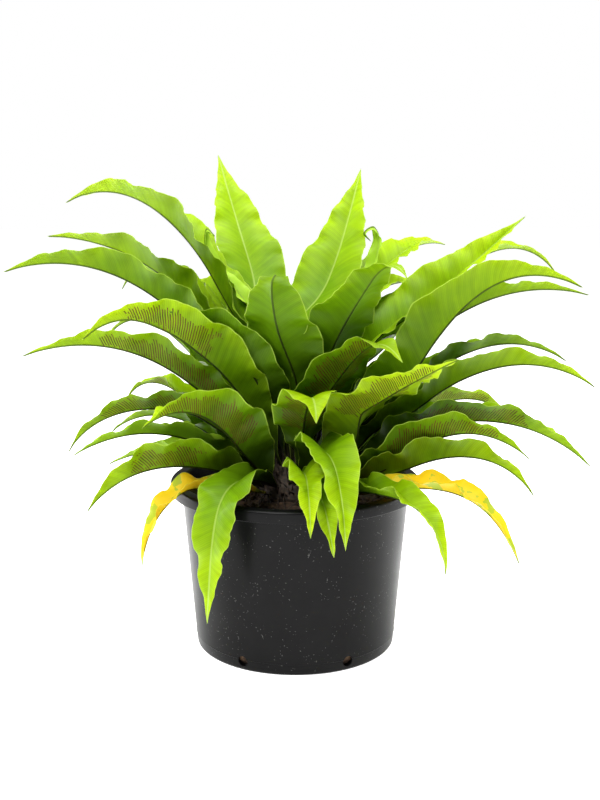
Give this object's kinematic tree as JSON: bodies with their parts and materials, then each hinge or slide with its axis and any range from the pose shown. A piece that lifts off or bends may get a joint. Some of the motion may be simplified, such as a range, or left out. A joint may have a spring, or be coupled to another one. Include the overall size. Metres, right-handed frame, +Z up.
{
  "type": "potted bird's nest fern",
  "caption": "Bird's nest fern: long, waved, strap-shaped fronds that rise and arch out all round from a low crown in a round black tapered nursery pot.",
  "frame": {"origin": "centre of the pot's underside, on the ground, on the pot's axis", "axes": "+Z up along the pot's axis, -Y to the plant's front as pictured, +X to the right of that view"},
  "size_m": [0.7245, 0.5243, 0.6051],
  "materials": {
    "pot": "black injection-moulded plastic with a soft sheen, a little dusty",
    "potting_mix": "dark, loose bark and fibre potting mix, matt",
    "crown": "brown scales and root fibre, matt",
    "leaf": "fresh green fern blade, waxy satin, a little translucent",
    "young_leaf": "lime-green young frond, waxy satin, translucent",
    "yellow_leaf": "old frond gone yellow with green patches, satin"
  },
  "bodies": {
    "root": {"pot": "pot", "soil": "potting_mix", "crown": "crown", "frond_01": "leaf", "frond_02": "leaf", "frond_03": "leaf", "frond_04": "leaf", "frond_05": "leaf", "frond_06": "leaf", "frond_07": "leaf", "frond_08": "leaf", "frond_09": "leaf", "frond_10": "leaf", "frond_11": "leaf", "frond_12": "leaf", "frond_13": "leaf", "frond_14": "leaf", "frond_15": "leaf", "frond_16": "yellow_leaf", "frond_17": "yellow_leaf", "frond_18": "leaf", "frond_19": "leaf", "frond_20": "leaf", "frond_21": "leaf", "frond_22": "leaf", "frond_23": "leaf", "frond_24": "leaf", "frond_25": "leaf", "frond_26": "leaf", "frond_27": "leaf", "frond_28": "leaf", "frond_29": "leaf", "frond_30": "leaf", "frond_31": "leaf", "frond_32": "leaf", "frond_33": "leaf", "frond_34": "leaf", "frond_35": "leaf", "frond_36": "leaf", "frond_37": "leaf", "frond_38": "young_leaf", "frond_39": "young_leaf", "frond_40": "leaf", "frond_41": "leaf", "frond_42": "leaf", "frond_43": "leaf", "frond_44": "leaf", "frond_45": "young_leaf", "frond_46": "leaf", "frond_47": "leaf", "frond_48": "leaf", "frond_49": "leaf", "frond_50": "leaf", "frond_51": "leaf", "frond_52": "leaf", "frond_53": "leaf", "frond_54": "leaf"}
  },
  "joints": []
}
